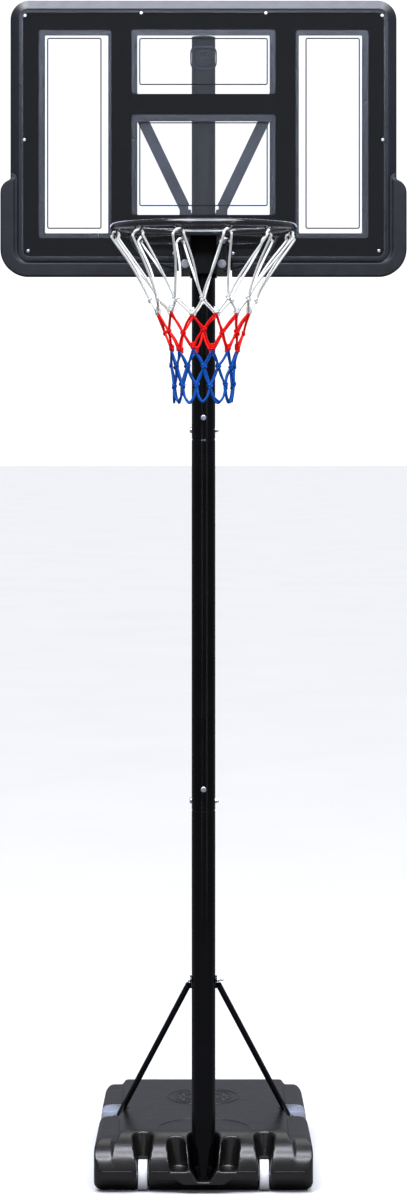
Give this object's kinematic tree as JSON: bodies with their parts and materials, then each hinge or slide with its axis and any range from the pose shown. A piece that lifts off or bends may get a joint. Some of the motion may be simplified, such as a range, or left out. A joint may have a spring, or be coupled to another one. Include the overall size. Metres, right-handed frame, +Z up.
{
  "type": "portable basketball hoop",
  "caption": "Portable basketball hoop: ballasted plastic base with wheels, steel pole with braces, windowed backboard, rim and net that slide up and down the pole.",
  "frame": {"origin": "on the floor, on the axis of the pole", "axes": "+X to the right as a player faces the board, +Y away from the player towards the back of the base, +Z up along the pole"},
  "size_m": [1.1, 1.433, 3.251],
  "materials": {
    "base_plastic": "satin",
    "water": "matte",
    "cap_plastic": "satin",
    "gasket_rubber": "matte",
    "black_steel": "gloss",
    "rim_steel": "gloss",
    "bracket_steel": "satin",
    "zinc_steel": "satin",
    "wheel_plastic": "satin",
    "frame_plastic": "gloss",
    "clear_panel": "gloss",
    "black_ink": "gloss",
    "grey_ink": "gloss",
    "pad_foam": "satin",
    "white_cord": "matte",
    "red_cord": "matte",
    "blue_cord": "matte"
  },
  "bodies": {
    "base": {"base_tank": "base_plastic", "ballast": "water", "wheel_axle": "zinc_steel", "pole_bottom": "black_steel", "pole_middle": "black_steel", "pole_top": "black_steel", "pole_top_cap": "cap_plastic", "pole_joint_bolts": "zinc_steel", "pole_joint_nuts": "zinc_steel", "strut_left": "black_steel", "strut_right": "black_steel", "strut_pole_bolt": "zinc_steel", "strut_pole_nut": "zinc_steel", "strut_foot_bolts": "zinc_steel", "strut_saddle_left": "zinc_steel", "strut_saddle_right": "zinc_steel"},
    "board_assembly": {"backboard_frame": "frame_plastic", "backboard_panel": "clear_panel", "panel_print": "black_ink", "window_pinstripes": "grey_ink", "panel_screws": "zinc_steel", "edge_pad_left": "pad_foam", "edge_pad_right": "pad_foam", "brace_left": "bracket_steel", "brace_right": "bracket_steel", "brace_bolts": "zinc_steel", "carriage_bracket": "bracket_steel", "carriage_clamp_bolts": "zinc_steel", "carriage_clamp_nuts": "zinc_steel", "rim_ring": "rim_steel", "rim_bracket": "rim_steel", "rim_cover": "rim_steel", "rim_brace_rods": "rim_steel", "net_hooks": "rim_steel", "rim_bolts": "zinc_steel", "rim_washers": "zinc_steel", "rim_nuts": "zinc_steel", "net_white": "white_cord", "net_red": "red_cord", "net_blue": "blue_cord"},
    "left_wheel": {"wheel_left": "wheel_plastic"},
    "right_wheel": {"wheel_right": "wheel_plastic"},
    "cap_seal": {"cap_gasket": "gasket_rubber"},
    "cap": {"fill_cap": "cap_plastic"}
  },
  "joints": [
    {"name": "height_adjust", "type": "slide", "parent": "base", "child": "board_assembly", "axis": [0, 0, 1], "range_m": [-0.3, 0.43]},
    {"name": "left_wheel_spin", "type": "hinge", "parent": "base", "child": "left_wheel", "pos_m": [-0.1666, 0, 0.042], "axis": [1, 0, 0], "continuous": true},
    {"name": "right_wheel_spin", "type": "hinge", "parent": "base", "child": "right_wheel", "pos_m": [0.1666, 0, 0.042], "axis": [1, 0, 0], "continuous": true},
    {"name": "cap_rise", "type": "slide", "parent": "base", "child": "cap_seal", "axis": [0, 0, 1], "range_m": [0, 0.012]},
    {"name": "cap_turn", "type": "hinge", "parent": "cap_seal", "child": "cap", "pos_m": [0, 0.25, 0.166], "axis": [0, 0, 1], "range_deg": [0, 1080]}
  ],
  "couplings": [
    {"joint": "cap_rise", "follows": "cap_turn", "m_per_rad": 0.000636}
  ]
}
